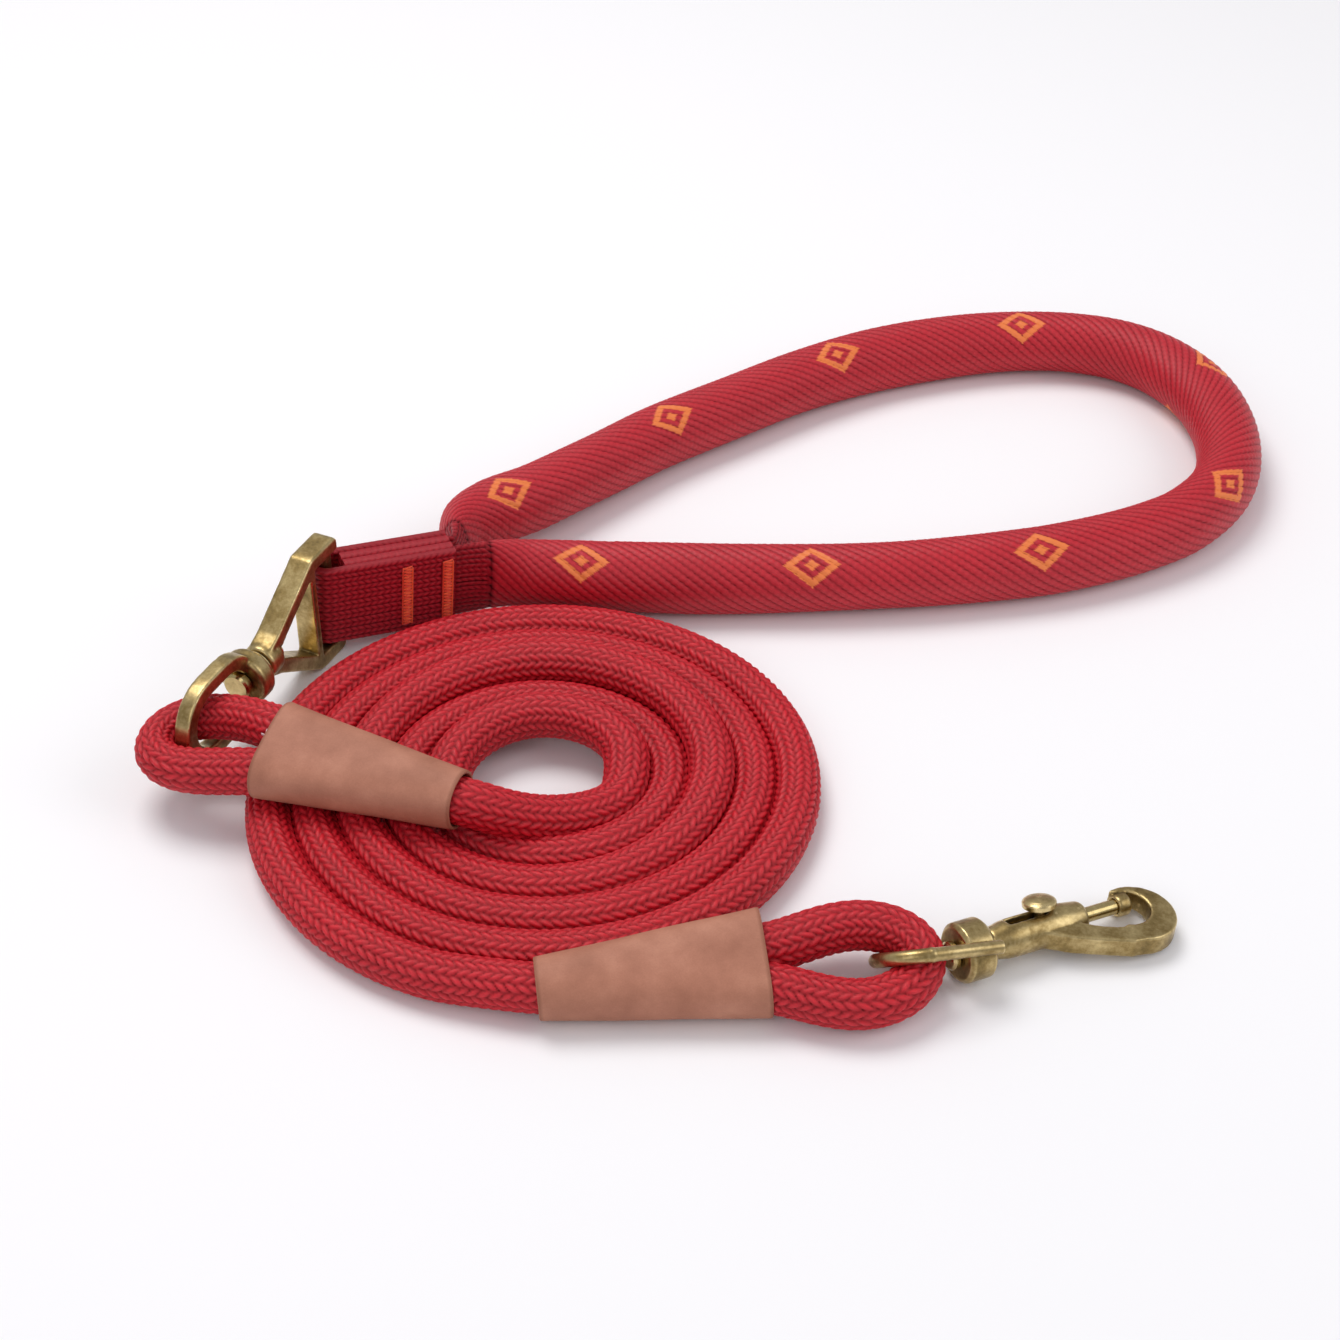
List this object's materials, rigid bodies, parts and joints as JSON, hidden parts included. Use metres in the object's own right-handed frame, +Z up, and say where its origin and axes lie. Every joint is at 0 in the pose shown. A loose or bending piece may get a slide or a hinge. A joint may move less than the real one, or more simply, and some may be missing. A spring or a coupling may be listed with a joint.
{
  "type": "training leash",
  "caption": "Braided rope training leash with a padded hand loop on a swivel, leather sleeves over its spliced rope eyes and a brass bolt snap, laid out in a flat coil",
  "frame": {"origin": "centre of the whole part's bounding box in X and Y, on the surface the leash lies on", "axes": "Z up from the surface; X runs from the swivel towards the hand loop's far bend; Y runs from the bolt snap's side towards the hand loop"},
  "size_m": [0.3226, 0.3137, 0.038],
  "materials": {
    "rope": "crimson braided rope",
    "webbing": "crimson woven webbing",
    "stitching": "orange stitching thread",
    "thread": "pale whipping thread",
    "padding": "soft fibre filling",
    "leather": "matte tan",
    "brass": "antique",
    "spring_steel": "bright"
  },
  "bodies": {
    "leash": {"rope_coil": "rope", "rope_handle_end": "rope", "rope_snap_end": "rope", "sleeve_handle": "leather", "sleeve_snap": "leather", "whipping_handle": "thread", "whipping_snap": "thread"},
    "swivel": {"swivel_eye": "brass"},
    "frame": {"strap_frame": "brass", "swivel_rivet": "brass", "swivel_washer": "brass"},
    "handle": {"webbing_loop": "webbing", "webbing_tail_near": "webbing", "webbing_tail_far": "webbing", "bartack_inner": "stitching", "bartack_end": "stitching", "handle_cover": "webbing", "handle_core": "padding"},
    "snap_ring": {"snap_eye": "brass"},
    "snap": {"snap_body": "brass", "snap_rivet": "brass", "snap_washer": "brass", "snap_spring": "spring_steel"},
    "bolt": {"snap_bolt": "brass", "thumb_knob": "brass"}
  },
  "joints": [
    {"name": "swivel_eye_swing", "type": "hinge", "parent": "leash", "child": "swivel", "pos_m": [-0.1428, -0.05692, 0.01836], "axis": [0.9961, -0.0281, 0.0842], "range_deg": [0, 60]},
    {"name": "handle_swivel", "type": "hinge", "parent": "swivel", "child": "frame", "pos_m": [-0.1417, -0.05455, 0.019], "axis": [0.4226, 0.9063, 0], "range_deg": [-30, 90]},
    {"name": "strap_hinge", "type": "hinge", "parent": "frame", "child": "handle", "pos_m": [-0.11782, -0.00334, 0.019], "axis": [0, 0, 1], "range_deg": [0, 90]},
    {"name": "snap_eye_swing", "type": "hinge", "parent": "leash", "child": "snap_ring", "pos_m": [0.04, -0.139, 0.0101], "axis": [0.8915, 0.4445, -0.0872], "range_deg": [-30, 0]},
    {"name": "snap_swivel", "type": "hinge", "parent": "snap_ring", "child": "snap", "pos_m": [0.0509, -0.1336, 0.0083], "axis": [0.8915, 0.4445, -0.0872], "continuous": true},
    {"name": "bolt_slide", "type": "slide", "parent": "snap", "child": "bolt", "axis": [-0.8915, -0.4445, 0.0872], "range_m": [0, 0.008], "stiffness_N_per_m": 150, "springref_m": -0.004}
  ]
}
